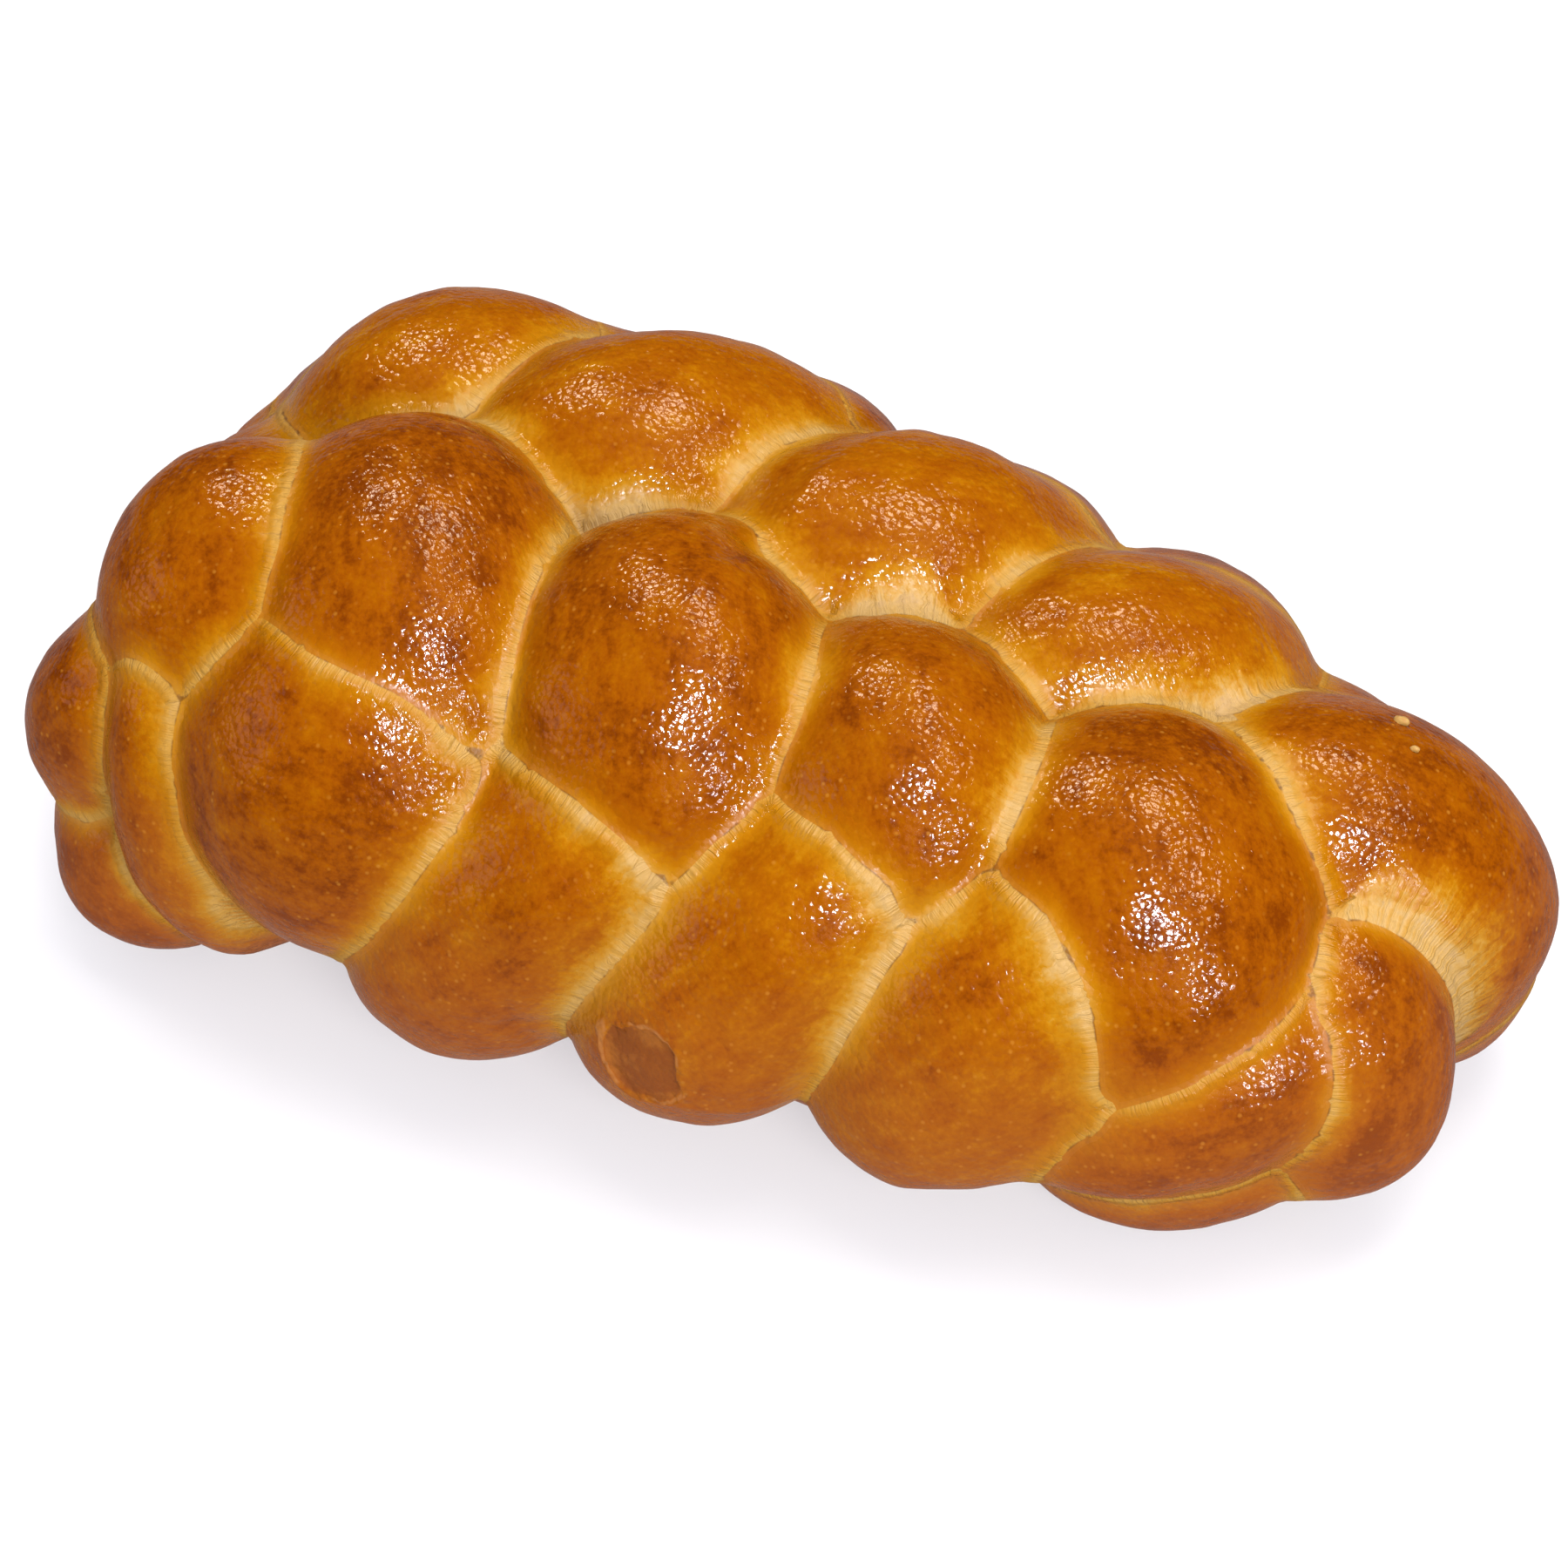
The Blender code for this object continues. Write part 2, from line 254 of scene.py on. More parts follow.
# %% [markdown]
# ## The crust along a ray
#
# Thirty eggs could be joined with a Boolean, but the join would leave long thin triangles
# and nothing to say how far a spot is from a crease. Rays do better. From a point of the
# spine a ray leaves towards its point of the mean form. It crosses the lobes one after the
# other, and the crust is where it leaves the last of them. Only the few lobes that reach
# farthest on a ray are compared, each with its own lumps.


# %% Reach of a lobe
TILT_SWAY = 0.016
TURN_SWAY = 1.6 * TILT_SWAY
LOBE_LUMPS = ((0.9 * MM, 19 * MM), (0.36 * MM, 8 * MM))
COMPARED = 5


def ray_of(tilt, turn):
    """Start, direction and mean radius of the ray with this tilt and turn."""
    start = spine_point(tilt)
    away = mean_point(tilt, turn) - start
    radius = np.linalg.norm(away, axis=-1)
    return start, away / radius[..., None], radius


def plain_reach(offset, slope):
    """Larger root of |offset + reach * slope| = 1, or its mirror if the ray misses.

    The mirror is taken at the touching ray, so a missed lobe falls away steadily.
    """
    a = np.sum(slope * slope, axis=-1)
    b = np.sum(offset * slope, axis=-1)
    inside = b * b - a * (np.sum(offset * offset, axis=-1) - 1)
    return (np.sign(inside) * np.sqrt(np.abs(inside)) - b) / a


def reach_of(lobe, tilt, turn):
    """Distance to where the ray leaves the given lobe, with that lobe's own lumps.

    The ray is swayed a little first, by smooth noise, which bends the creases.
    """
    place = mean_point(tilt, turn)
    swayed_tilt = tilt + TILT_SWAY * lumps(place, 31 * MM, 5)
    swayed_turn = turn + TURN_SWAY * lumps(place, 27 * MM, 6)
    start, ray, mean_radius = ray_of(swayed_tilt, swayed_turn)
    offset = np.einsum("...ij,...j->...i", AXES[lobe], start - CENTRES[lobe])
    slope = np.einsum("...ij,...j->...i", AXES[lobe], np.broadcast_to(ray, offset.shape))
    reach = np.where(lobe == CORE, mean_radius * CORE_SHARE, plain_reach(offset, slope))
    for number, (height, size) in enumerate(LOBE_LUMPS, start=1):
        reach = reach + height * lumps(place, size, lobe * 7 + number)
    return reach


def nearest_lobes(tilt, turn, count=COMPARED):
    """Numbers of the lobes with the largest plain reaches, in falling order."""
    start, ray, mean_radius = ray_of(tilt, turn)
    reaches = [plain_reach((start - CENTRES[lobe]) @ AXES[lobe].T, ray @ AXES[lobe].T)
               for lobe in range(CORE)]
    return np.argsort(-np.stack([*reaches, mean_radius * CORE_SHARE]), axis=0)[:count]


print("reach of lobe 2", (reach_of(np.array([2]), np.array([0.1]), np.array([1.2])) / MM).round(1), "mm")

# %% [markdown]
# ## Over and under
#
# Where two lobes press together, the upper one keeps its round brown edge. The lower one is
# stretched: its dough is pulled up against the edge as the loaf grows, and tears into a pale
# band. Two square tables hold this for every pair of lobes: who dives under whom, and how
# wide the band is there, in mm. Most bands are alike, and the wide tears are given one by
# one. The foot and the core under the lobes never dive.

# %% Who dives, and how wide the pale band is
ranks = [{**row, **changes}["layer"] + along / 1000 for _, row, along, *_, changes in LOBES]
LAYERS = np.array(ranks + [-1, -2])
DIVES = (LAYERS[:, None] < LAYERS[None, :]).astype(float)
DIVES[-2:] = 0
UNDER_BAND = 4.6
OVER_BAND = 1.1
WIDE_TEARS = {
    ("side_2", "top_3"): 7.4, ("side_1", "top_2"): 6.4, ("side_3", "top_4"): 6.4,
    ("side_4", "top_5"): 6.6, ("far_5", "top_5"): 5.2, ("far_5", "tail_tuck"): 14.0,
    ("far_4", "far_5"): 9.0, ("far_4", "top_5"): 6.4, ("far_3", "top_4"): 10.5,
    ("far_2", "top_3"): 6.0, ("top_2", "top_3"): 4.2, ("top_4", "top_5"): 6.2,
    ("tail_tuck", "side_5"): 6.0, ("side_2", "side_3"): 5.2, ("side_3", "side_4"): 5.2,
    ("far_1", "top_2"): 6.5, ("far_1", "top_1"): 8.0, ("tail_tuck", "top_5"): 8.0,
}
BANDS = OVER_BAND + (UNDER_BAND - OVER_BAND) * DIVES
BACK_BAND_SHARE = 0.5
AT_BACK = np.array(["back" in name for name in NAMES])
BANDS[AT_BACK] = BACK_BAND_SHARE * BANDS[AT_BACK]
for (lower, upper), width in WIDE_TEARS.items():
    BANDS[NAMES.index(lower), NAMES.index(upper)] = width
print("bands from", BANDS.min(), "to", BANDS.max(), "mm")

# %% [markdown]
# ## Lifting the lower lobe
#
# A plain meeting of two eggs is a valley with equal sides. Here the lower lobe is lifted near
# the crease, so the valley is shallow on its side and steep on the other. A wide tear lies
# low again, so the lift stops growing at a limit.


# %% Lift, and the order of the lobes
LIFT_SHARE = 0.30
LIFT_SPREAD = 2.6 * MM
WIDEST_LIFT = 7.0


def lifted(lobes, reaches):
    """Each reach plus a lift, summed over the other lobes that it dives under.

    The lift is a share of the pale band, full where the lobe is hidden, and it fades with
    the exponential of its lead over the upper lobe.
    """
    lead = reaches[:, None] - reaches[None, :]
    lower, upper = lobes[:, None], lobes[None, :]
    height = LIFT_SHARE * MM * np.minimum(BANDS, WIDEST_LIFT)[lower, upper] * DIVES[lower, upper]
    return reaches + (height * np.exp(-np.maximum(lead, 0) / LIFT_SPREAD)).sum(axis=1)


def ranked(lobes, tilt, turn):
    """The given lobes and their lifted reaches, put in falling order of reach."""
    reaches = lifted(lobes, reach_of(lobes, tilt[None], turn[None]))
    order = np.argsort(-reaches, axis=0)
    return np.take_along_axis(lobes, order, 0), np.take_along_axis(reaches, order, 0)


crown = ranked(np.array([[1], [2]]), np.array([0.1]), np.array([1.2]))[0][0, 0]
print("the lobe on top at the middle of the loaf is", NAMES[crown])

# %% [markdown]
# ## An even grid
#
# Equal steps of the two angles would crowd points at the ends. Steps of equal length along
# the mean form are better, with fewer of them under the loaf, where it is flat.

# %% Grid of tilts and turns
RINGS = 344
POINTS_ROUND = 286
UNDERSIDE_DENSITY = 0.30
FINE_STEPS = 2001
SHOULDER_TURN = np.radians(54)


def even_places(outline, weights, count):
    """Row numbers, with fractions, that cut an outline into steps of equal length."""
    steps = np.linalg.norm(np.diff(outline, axis=0), axis=-1) * weights
    travel = np.concatenate([[0], np.cumsum(steps)])
    return np.interp(np.linspace(0, travel[-1], count), travel, np.arange(len(travel)))


fine = np.arange(FINE_STEPS)
fine_tilt = np.linspace(-np.pi / 2, np.pi / 2, FINE_STEPS)
fine_turn = np.linspace(-np.pi / 2, 3 * np.pi / 2, FINE_STEPS)
ring_line = mean_point(fine_tilt, np.full(FINE_STEPS, SHOULDER_TURN))
round_line = mean_point(0 * fine_turn, fine_turn)
underside = np.where(round_line[1:, 2] < 1 * MM, UNDERSIDE_DENSITY, 1.0)
TILTS = np.interp(even_places(ring_line, 1.0, RINGS), fine, fine_tilt)
TURNS = np.interp(even_places(round_line, underside, POINTS_ROUND + 1), fine, fine_turn)
print("grid", RINGS, "rings of", POINTS_ROUND, "points")

# %% [markdown]
# ## Finding the folds
#
# A crease that runs across the cells of a grid looks like a saw. A finer grid would only make
# the teeth smaller, so points are slid onto the crease instead. A fold is where two numbers
# are equal: the reaches of the two leading lobes, or the reach of the crust and the distance
# to the board. Newton's rule gives the step to such a place from the slope of the difference.


# %% Step from a point to a fold
PROBE = 0.4
NEWTON_SHARE = 0.8
LEAST_SLOPE = 1e-14


def board_reach(tilt, turn):
    """Distance along the ray to the board, or far away for a ray that doesn't fall."""
    ray = ray_of(tilt, turn)[1]
    return np.where(ray[..., 2] < 0, SPINE_HEIGHT / np.maximum(-ray[..., 2], 1e-6), 1.0)


def angles_at(row, column):
    """Tilt and turn at a place in the grid given as row and column with fractions."""
    tilt = np.interp(row, np.arange(RINGS), TILTS)
    lap = np.arange(-1, POINTS_ROUND + 2)
    laps = np.concatenate([[TURNS[-2] - 2 * np.pi], TURNS, [TURNS[1] + 2 * np.pi]])
    return tilt, np.interp(column, lap, laps)


def fold_values(row, column, lobes):
    """Two differences that are zero on folds: first less second lobe, crust less board."""
    tilt, turn = angles_at(row, column)
    reaches = lifted(lobes, reach_of(lobes, tilt[None], turn[None]))
    return np.stack([reaches[0] - reaches[1], reaches[0] - board_reach(tilt, turn)])


def fold_step(row, column, lobes):
    """Newton step, in cells: minus the difference times its slope, over slope squared."""
    value = fold_values(row, column, lobes)
    down = fold_values(row + PROBE, column, lobes) - fold_values(row - PROBE, column, lobes)
    along = fold_values(row, column + PROBE, lobes) - fold_values(row, column - PROBE, lobes)
    size = np.maximum(down ** 2 + along ** 2, LEAST_SLOPE)
    return -NEWTON_SHARE * value * down / size, -NEWTON_SHARE * value * along / size


trial = fold_step(np.array([80.0]), np.array([60.0]), np.arange(COMPARED)[:, None])
print("a trial step goes", [round(float(part[0, 0]), 1) for part in trial], "rows and columns")

# %% [markdown]
# ## Sliding points onto the folds
#
# A point whose first step is shorter than a cell is close to a fold. It takes three more
# steps, and stays there if it hasn't left its own cell's share of the grid. All other
# points keep their even places.

# %% Slide the near points
SLIDE_LIMIT = 0.46
TOO_FAR = 99.0
grid_lines = np.arange(RINGS, dtype=float), np.arange(POINTS_ROUND + 1, dtype=float)
rows, columns = np.meshgrid(*grid_lines, indexing="ij")
tilt, turn = angles_at(rows, columns)
lobes, reaches = ranked(nearest_lobes(tilt, turn), tilt, turn)
below = reaches[0] > board_reach(tilt, turn)
down, along = fold_step(rows, columns, lobes)
length = np.hypot(down, along)
length[0] = np.where(below, TOO_FAR, length[0])
fold = np.argmin(length, axis=0)
near = length.min(axis=0) < 1.0
near[[0, -1]] = False
spots, which = np.nonzero(near.ravel())[0], fold[near]
near_lobes = lobes.reshape(COMPARED, -1)[:, spots]
start_row, start_column = rows.ravel()[spots], columns.ravel()[spots]
row, column = start_row, start_column
for _ in range(3):
    down, along = fold_step(row, column, near_lobes)
    pick = (which, np.arange(len(spots)))
    row, column = row + down[pick], column + along[pick]
shift = np.maximum(np.abs(row - start_row), np.abs(column - start_column))
kept = shift < SLIDE_LIMIT
even_rows, even_columns = rows.copy(), columns.copy()
rows.ravel()[spots[kept]] = row[kept]
columns.ravel()[spots[kept]] = column[kept]
print(int(kept.sum()), "points slid onto folds")

# %% [markdown]
# ## Keeping the cells open
#
# Where three folds meet, slid points can fold a cell over itself, and its triangles would
# show as dark specks. Such a cell's corners go half-way back to their even places, and the
# test is made again, a few rounds in all, until no cell is bent.


# %% Ease bent cells
LEAST_CORNER = 0.06
ROUNDS = 6


def corner_areas(rows, columns):
    """Cross products of the two sides at each corner of every cell; convex if positive."""
    down, along = (slice(None, -1), slice(1, None)), (slice(None, -1), slice(1, None))
    ring = [(0, 0), (1, 0), (1, 1), (0, 1)]
    at = [np.stack([rows[down[i], along[j]], columns[down[i], along[j]]], -1) for i, j in ring]
    sides = [at[(k + 1) % 4] - at[k] for k in range(4)]
    turns = [(sides[k - 1], sides[k]) for k in range(4)]
    return np.stack([a[..., 0] * b[..., 1] - a[..., 1] * b[..., 0] for a, b in turns])


for _ in range(ROUNDS):
    rows[:, -1] = rows[:, 0]
    columns[:, -1] = columns[:, 0] + POINTS_ROUND
    bent = (corner_areas(rows, columns) < LEAST_CORNER).any(axis=0)
    ease = np.zeros(rows.shape, dtype=bool)
    for i, j in itertools.product((0, 1), repeat=2):
        ease[i:i + RINGS - 1, j:j + POINTS_ROUND] |= bent
    ease[:, 0] = ease[:, -1] = ease[:, 0] | ease[:, -1]
    rows[ease] = (rows[ease] + even_rows[ease]) * 0.5
    columns[ease] = (columns[ease] + even_columns[ease]) * 0.5
print(int(bent.sum()), "cells eased in the last round")
tilt, turn = angles_at(rows, columns)
lobes, reaches = ranked(nearest_lobes(tilt, turn), tilt, turn)

# %% [markdown]
# ## The crust's radius
#
# The radius of the crust is the smooth maximum of the reaches: the logarithm of the sum of
# exponentials, which is the larger one where they differ and a little more where they meet.
# It rounds the bottom of each fold, as dough that has risen against dough.

# %% Crust radius
CREASE_FILLET = 1.1 * MM
GRAIN = ((0.10 * MM, 3.4 * MM, 11), (0.05 * MM, 2.0 * MM, 12))

start, ray, _ = ray_of(tilt, turn)
highest = reaches[0]
radius = highest + CREASE_FILLET * np.log(np.exp((reaches - highest) / CREASE_FILLET).sum(axis=0))
rough = start + ray * radius[..., None]
for height, size, seed in GRAIN:
    radius = radius + height * lumps(rough, size, seed)
print("crust radius from", (radius.min() / MM).round(1), "to", (radius.max() / MM).round(1), "mm")

# %% [markdown]
# ## Scars
#
# Steam lifts the crust into blisters. One low on the near side has burst: its thin lid broke
# away and left a shallow hollow with a ragged raised rim. A small dimple and an unbroken
# bubble lie higher up. Each is a change of the radius by its distance from an uneven edge.
# The board then cuts off what would sink into it.


# %% Scars and points
# Name, centre, radius, depth and width of the edge, all in mm; a bubble's depth is negative.
SCARS = (
    ("burst_blister", (13.4, -78.3, 36.6), 8.0, 1.1, 0.7),
    ("dimple", (79.9, -26.8, 81.5), 1.4, 0.9, 2.4),
    ("bubble", (18.8, -48.5, 75.4), 0.8, -0.7, 1.6),
)
RIM_HEIGHT, RIM_PLACE = 0.35 * MM, 0.9


def scar_distance(points, centre, radius):
    """Distance to the uneven edge of a scar in mm, less than zero inside it."""
    away = np.linalg.norm(points - np.array(centre) * MM, axis=-1) / MM
    return away - radius + 3.6 * lumps(points, 8 * MM, 23) + 1.4 * lumps(points, 3 * MM, 24)


def fade(value, full, none):
    """Smooth step that is one at full and falls to zero at none."""
    share = np.clip((value - none) / (full - none), 0, 1)
    return share * share * (3 - 2 * share)


for _, centre, size, depth, slope in SCARS:
    radius = radius - depth * MM * fade(scar_distance(rough, centre, size), -slope, slope)
blister_edge = scar_distance(rough, SCARS[0][1], SCARS[0][2])
radius = radius + RIM_HEIGHT * fade(np.abs(blister_edge - RIM_PLACE), 0.1, 0.9)
board = board_reach(tilt, turn)
points = start + ray * np.minimum(radius, board)[..., None]
on_board = radius >= board
points[..., 2] = np.where(on_board, 0.0, np.maximum(points[..., 2], 0.0))
print("crust spans", ((points.max(axis=(0, 1)) - points.min(axis=(0, 1))) / MM).round(1), "mm")

# %% [markdown]
# ## The mesh
#
# Each grid cell becomes two triangles, cut along the diagonal that lies deeper, so edges run
# along the creases. The two end rows shrink to one point each, and the last column is the
# first one again, so the shell is closed. Each triangle belongs to the lobe that leads at
# its middle.

# %% Triangles of the shell
WIDE = POINTS_ROUND + 1
grid_index = np.arange(RINGS * WIDE).reshape(RINGS, WIDE)
a, b = grid_index[:-1, :-1], grid_index[1:, :-1]
c, d = grid_index[1:, 1:], grid_index[:-1, 1:]
depth = np.minimum(reaches[0] - reaches[1], np.abs(radius - board)).ravel()
straight = (depth[a] + depth[c] <= depth[b] + depth[d])[..., None]
one = np.where(straight, np.stack([a, b, c], -1), np.stack([a, b, d], -1))
two = np.where(straight, np.stack([a, c, d], -1), np.stack([b, c, d], -1))
one[0] = np.stack([a, b, c], -1)[0]
one[-1] = np.stack([a, b, d], -1)[-1]
corners = np.concatenate([one.reshape(-1, 3), two[1:-1].reshape(-1, 3)])

inner = 2 + np.arange((RINGS - 2) * POINTS_ROUND).reshape(RINGS - 2, POINTS_ROUND)
vertex_of = np.zeros((RINGS, WIDE), dtype=int)
vertex_of[1:-1] = inner[:, np.arange(WIDE) % POINTS_ROUND]
vertex_of[-1] = 1
triangles = vertex_of.ravel()[corners]
vertices = np.concatenate([points[[0, -1], 0], points[1:-1, :-1].reshape(-1, 3)])
middle_tilt = tilt.ravel()[corners].mean(axis=1)
middle_turn = turn.ravel()[corners].mean(axis=1)
options = lobes.reshape(COMPARED, -1)[:, corners[:, 0]]
face_lobe = ranked(options, middle_tilt, middle_turn)[0][0]
print(len(triangles), "triangles,", len(vertices), "vertices,", len(np.unique(face_lobe)), "lobes show")

# %% [markdown]
# ## How far from a crease
#
# The finish depends on the distance to the nearest crease, on how wide the pale band is
# there, and on where along the crease the nearest point lies, because fibres run straight
# across. A crease is every edge between triangles of two lobes. Each lobe looks only at its
# own creases, so its two sides can differ.

# %% Points along the creases
POINTS_PER_EDGE = 5
edges = np.sort(np.concatenate([triangles[:, pair] for pair in ([0, 1], [1, 2], [2, 0])]), axis=1)
edge_face = np.tile(np.arange(len(triangles)), 3)
order = np.lexsort((edges[:, 1], edges[:, 0]))
edges, edge_face = edges[order][::2], edge_face[order].reshape(-1, 2)
edge_lobes = face_lobe[edge_face]
on_crease = edge_lobes[:, 0] != edge_lobes[:, 1]
ends, edge_lobes = vertices[edges[on_crease]], edge_lobes[on_crease]
share = np.linspace(0.1, 0.9, POINTS_PER_EDGE)[None, :, None]
crease_points = (ends[:, None, 0] * (1 - share) + ends[:, None, 1] * share).reshape(-1, 3)
edge_lobes = np.repeat(edge_lobes, POINTS_PER_EDGE, axis=0)
print(int(on_crease.sum()), "crease edges")


# %% Distance, band width and root of every corner
def crease_values(own, spots):
    """Distance to a lobe's nearest crease point, its place, and the band and dive there.

    Band and dive are weighted means over the crease points; a weight halves with each
    millimetre that a point is farther away than the nearest one.
    """
    mine = (edge_lobes == own).any(axis=1)
    pairs, places = edge_lobes[mine], crease_points[mine]
    other = np.where(pairs[:, 0] == own, pairs[:, 1], pairs[:, 0])
    square = (spots ** 2).sum(axis=1)[:, None] + (places ** 2).sum(axis=1)[None] - 2 * spots @ places.T
    distance = np.sqrt(np.maximum(square, 0))
    nearest = distance.argmin(axis=1)
    least = distance[np.arange(len(spots)), nearest]
    weight = 0.5 ** ((distance - least[:, None]) / MM)
    weight = weight / weight.sum(axis=1, keepdims=True)
    return least, places[nearest], weight @ BANDS[own, other], weight @ DIVES[own, other]


BATCH = 2000
corner_vertex, corner_lobe = triangles.ravel(), np.repeat(face_lobe, 3)
gap, band, dive = (np.zeros(len(corner_vertex)) for _ in range(3))
root = np.zeros((len(corner_vertex), 3))
for own in np.unique(face_lobe):
    mine = np.nonzero(corner_lobe == own)[0]
    own_vertices, back = np.unique(corner_vertex[mine], return_inverse=True)
    for part in np.array_split(np.arange(len(own_vertices)), 1 + len(own_vertices) // BATCH):
        least, places, width, depth_share = crease_values(own, vertices[own_vertices[part]])
        chosen = np.isin(back, part)
        local = back[chosen] - part[0]
        gap[mine[chosen]] = least[local]
        root[mine[chosen]] = places[local]
        band[mine[chosen]] = width[local]
        dive[mine[chosen]] = depth_share[local]
print("crease distance up to", round(float(gap.max() / MM), 1), "mm")

# %% [markdown]
# ## The crust as an object
#
# The arrays become one mesh. What the finish needs is stored on it by name, most of it on the
# corners of the triangles, so that the two sides of a crease can hold different values at
# one point. A strand's streaks run along it, so each corner also keeps its place in its own
# lobe's axes: along, across and up. No two lobes bake alike, so each has its own doneness,
# above zero for a browner one.


# %% Make a mesh from arrays
def add_values(mesh, name, domain, values):
    """Store one array on the mesh, as numbers or as vectors, under a name."""
    kind, field = ("FLOAT_VECTOR", "vector") if values.ndim == 2 else ("FLOAT", "value")
    layer = mesh.attributes.new(name, kind, domain)
    layer.data.foreach_set(field, values.astype(np.float32).ravel())


def new_piece(name, vertices, faces):
    """Smooth-shaded mesh object from arrays, linked to the scene."""
    mesh = bpy.data.meshes.new(name)
    mesh.from_pydata(vertices.tolist(), [], faces.tolist())
    mesh.shade_smooth()
    piece = bpy.data.objects.new(name, mesh)
    bpy.context.scene.collection.objects.link(piece)
    return piece


print("helpers ready: add_values, new_piece")

# %% Crust mesh and its stored values
DONENESS = {
    "top_1": 0.04, "top_2": 0.08, "top_3": 0.06, "top_4": 0.02, "top_5": 0.08,
    "side_1": 0.06, "side_3": -0.08, "side_4": -0.08, "side_5": 0.06,
    "far_1": -0.08, "far_2": -0.06, "far_3": -0.06, "far_4": -0.06, "far_5": 0.06,
    "back_0": 0.12, "back_1": 0.14, "back_2": 0.16, "back_3": 0.14, "back_4": 0.14,
    "head_foot": 0.16, "head_fold": 0.12, "tail_tuck": 0.10,
}
SHADED_PIT_LEVEL = 40 * MM
BLISTER_RANGE = 9

CAD_LOW, CAD_HIGH = (np.array(corner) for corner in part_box("loaf"))
centre_shift = (CAD_LOW + CAD_HIGH) / 2 - (vertices.min(axis=0) + vertices.max(axis=0)) / 2
centre_shift[2] = 0.0
crust = new_piece("crust", vertices + centre_shift, triangles)
doneness = np.array([DONENESS.get(name, 0.0) for name in NAMES])
from_centre = vertices[corner_vertex] - CENTRES[corner_lobe]
corner_values = {
    "gap": gap / MM,
    "band": band,
    "dive": dive,
    "root": root,
    "done": doneness[corner_lobe],
    "strand": np.einsum("nij,nj->ni", unit(AXES)[corner_lobe], from_centre),
    # Core that shows high between lobes is marked for painted shade: a dark tone where a deep hole would
    # lie in shadow.
    "pit": ((corner_lobe == CORE) & (vertices[corner_vertex, 2] > SHADED_PIT_LEVEL)).astype(float),
}
for name, values in corner_values.items():
    add_values(crust.data, name, "CORNER", values)
point_rows = np.concatenate([grid_index[[0, -1], 0], grid_index[1:-1, :-1].ravel()])
near_blister = np.clip(blister_edge, -BLISTER_RANGE, BLISTER_RANGE)
add_values(crust.data, "base", "POINT", on_board.ravel()[point_rows].astype(float))
add_values(crust.data, "blister", "POINT", near_blister.ravel()[point_rows])
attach(crust, "root")
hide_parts("loaf")
print("shifted by", (centre_shift / MM).round(2), "mm")

# %% [markdown]
# ## Crumbs
#
# Two loose crumbs lie on the lobe at the tail. They are too small to need more than a small
# ball each, flattened and made uneven by the same smooth noise. Each is set on the crust
# point nearest to its place, so it doesn't float.

# %% Two crumbs
# Wanted place and radius of each, in mm.
CRUMBS = ((111.0, 26.0, 73.0, 1.1), (115.3, 19.0, 74.2, 0.8))
CRUMB_RINGS, CRUMB_POINTS = 9, 14


def ball(centre, radius, seed):
    """Uneven ball: rings of points between two poles, radius times 1 plus noise."""
    rise = np.linspace(-np.pi / 2, np.pi / 2, CRUMB_RINGS)[1:-1, None]
    round_ = np.linspace(0, 2 * np.pi, CRUMB_POINTS, endpoint=False)[None]
    ring = [np.cos(rise) * np.cos(round_), np.cos(rise) * np.sin(round_), np.sin(rise) + 0 * round_]
    ring = np.stack(ring, axis=-1)
    shape = np.concatenate([[[0, 0, -1.0]], ring.reshape(-1, 3), [[0, 0, 1.0]]])
    shape = shape * (1 + 0.35 * lumps(shape + seed, 0.9, seed))[:, None] * np.array([1.2, 0.9, 0.7])
    index = 1 + np.arange(ring.shape[0] * CRUMB_POINTS).reshape(ring.shape[0], CRUMB_POINTS)
    beside = np.roll(index, -1, axis=1)
    low, high = index[:-1], index[1:]
    low_beside, high_beside = beside[:-1], beside[1:]
    last = index[-1, -1] + 1
    sides = (low, low_beside, high_beside), (low, high_beside, high)
    first_cap = (beside[:1], index[:1], 0 * index[:1])
    last_cap = (index[-1:], beside[-1:], 0 * index[-1:] + last)
    faces = [np.stack(corner, axis=-1) for corner in (*sides, first_cap, last_cap)]
    return centre + shape * radius, np.concatenate([face.reshape(-1, 3) for face in faces])


crumb_vertices, crumb_faces = [], []
for seed, (*wanted, size) in enumerate(CRUMBS, start=3):
    spot = vertices[np.argmin(np.linalg.norm(vertices - np.array(wanted) * MM, axis=1))]
    shell, faces = ball(spot + np.array([0, 0, 0.4 * size * MM]), size * MM, seed)
    crumb_faces.append(faces + sum(len(part) for part in crumb_vertices))
    crumb_vertices.append(shell)
crumbs = new_piece("crumbs", np.concatenate(crumb_vertices) + centre_shift, np.concatenate(crumb_faces))
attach(crumbs, "root")
print(len(CRUMBS), "crumbs,", sum(len(faces) for faces in crumb_faces), "triangles")

# %% [markdown]
# ## Shader maths as plain expressions
#
# A material is a net of small nodes. Written out one by one, a simple sum takes ten lines.
# The class below wraps an output of a node and gives it the usual signs, so that
# `1 - mask * 2` adds the two Math nodes it needs.


